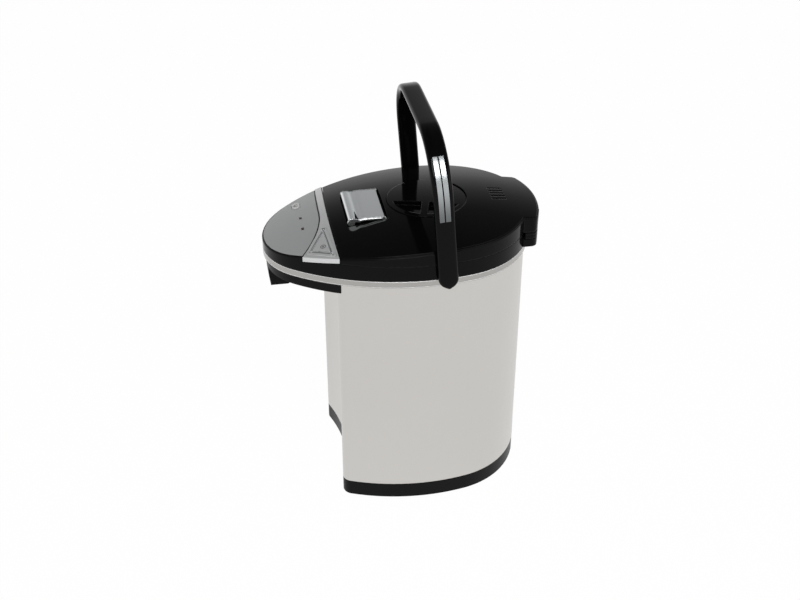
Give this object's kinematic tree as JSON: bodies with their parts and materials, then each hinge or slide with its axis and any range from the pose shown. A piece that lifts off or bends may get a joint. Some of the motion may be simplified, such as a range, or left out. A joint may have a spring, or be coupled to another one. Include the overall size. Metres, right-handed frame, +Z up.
{
  "type": "electric thermo pot",
  "caption": "Steel-clad electric thermo pot with lift-up lid, hand pump disc, lid latch, key panel, under-nose spout and folding bail handle.",
  "frame": {"origin": "on the table under the middle of the pot, in the plane its rubber feet stand on", "axes": "+Z up, -Y towards the spout and panel, +X to the side that shows in the picture"},
  "size_m": [0.2306, 0.3148, 0.4719],
  "materials": {
    "steel": "brushed, satin",
    "trim": "silver, satin",
    "black_gloss": "gloss",
    "black_satin": "satin",
    "panel": "silver grey, matte",
    "strip": "silver, satin",
    "bright": "satin chrome",
    "key_white": "satin",
    "rubber": "matte",
    "seal": "matte",
    "plain_steel": "satin",
    "aluminium": "cast",
    "brass": "satin",
    "clear": "clear",
    "board": "matte",
    "white_plastic": "satin",
    "grey_plastic": "matte",
    "lens": "gloss"
  },
  "bodies": {
    "pot": {"body_shell": "steel", "base_moulding": "black_satin", "base_cover": "black_satin", "rubber_feet": "rubber", "base_screws": "plain_steel", "inlet_housing": "black_satin", "inlet_pins": "brass", "gauge_window": "clear", "gauge_tube": "clear", "trim_ring": "trim", "collar": "black_gloss", "hinge_block": "black_gloss", "hinge_pin": "plain_steel", "handle_pins": "plain_steel", "keeper_plate": "plain_steel", "tank_posts": "plain_steel", "control_panel": "panel", "panel_strip": "strip", "indicator_lights": "lens", "circuit_board": "board", "key_switches": "grey_plastic", "spout_housing": "black_satin", "spout_nozzle": "black_satin", "inner_tank": "plain_steel", "tank_seal": "seal", "tank_filter": "plain_steel", "heater_plate": "aluminium", "thermostat": "grey_plastic", "thermal_fuse": "white_plastic", "pump_housing": "white_plastic", "pump_motor": "plain_steel", "feed_pipe": "seal", "riser_pipe": "seal", "outlet_pipe": "seal", "power_board": "board"},
    "lid": {"lid_shell": "black_gloss", "lid_liner": "black_satin", "inner_lid_plate": "plain_steel", "lid_gasket": "seal", "pump_cylinder": "black_satin", "steam_valve": "grey_plastic", "latch_pin": "plain_steel", "pump_bellows": "seal", "return_spring": "plain_steel"},
    "latch": {"latch_lever": "bright", "latch_catch": "plain_steel"},
    "lock": {"lock_ring": "black_satin"},
    "disc": {"pump_disc": "black_gloss", "pump_plunger": "white_plastic"},
    "handle": {"handle_bail": "black_gloss", "handle_inlays": "bright"},
    "boil_key": {"boil_key": "strip"},
    "round_key": {"round_key": "key_white"},
    "impeller": {"impeller": "white_plastic"}
  },
  "joints": [
    {"name": "lid_open", "type": "hinge", "parent": "pot", "child": "lid", "pos_m": [0, 0.128, 0.33], "axis": [-1, 0, 0], "range_deg": [0, 75]},
    {"name": "handle_fold", "type": "hinge", "parent": "pot", "child": "handle", "pos_m": [0, 0.012, 0.315], "axis": [-1, 0, 0], "range_deg": [0, 110]},
    {"name": "latch_lift", "type": "hinge", "parent": "lid", "child": "latch", "pos_m": [0, -0.045, 0.3495], "axis": [-1, 0, 0], "range_deg": [0, 12], "stiffness_Nm_per_rad": 0.3},
    {"name": "pump_turn", "type": "hinge", "parent": "lid", "child": "lock", "pos_m": [0, 0.0085, 0.303], "axis": [0, 0, 1], "range_deg": [0, 45]},
    {"name": "pump_press", "type": "slide", "parent": "lock", "child": "disc", "axis": [0, 0, -1], "range_m": [0, 0.02], "stiffness_N_per_m": 250, "springref_m": -0.004, "deforming": ["pump_bellows", "return_spring"]},
    {"name": "boil_key_press", "type": "slide", "parent": "pot", "child": "boil_key", "axis": [0, 0, -1], "range_m": [0, 0.0012], "stiffness_N_per_m": 1500, "springref_m": -0.0004},
    {"name": "round_key_press", "type": "slide", "parent": "pot", "child": "round_key", "axis": [0, 0, -1], "range_m": [0, 0.001], "stiffness_N_per_m": 1500, "springref_m": -0.0003},
    {"name": "impeller_spin", "type": "hinge", "parent": "pot", "child": "impeller", "pos_m": [0.03, -0.0115, 0.038], "axis": [0, 0, 1], "continuous": true}
  ],
  "couplings": [
    {"joint": "handle_fold", "follows": "lid_open", "ratio": 1.45}
  ]
}
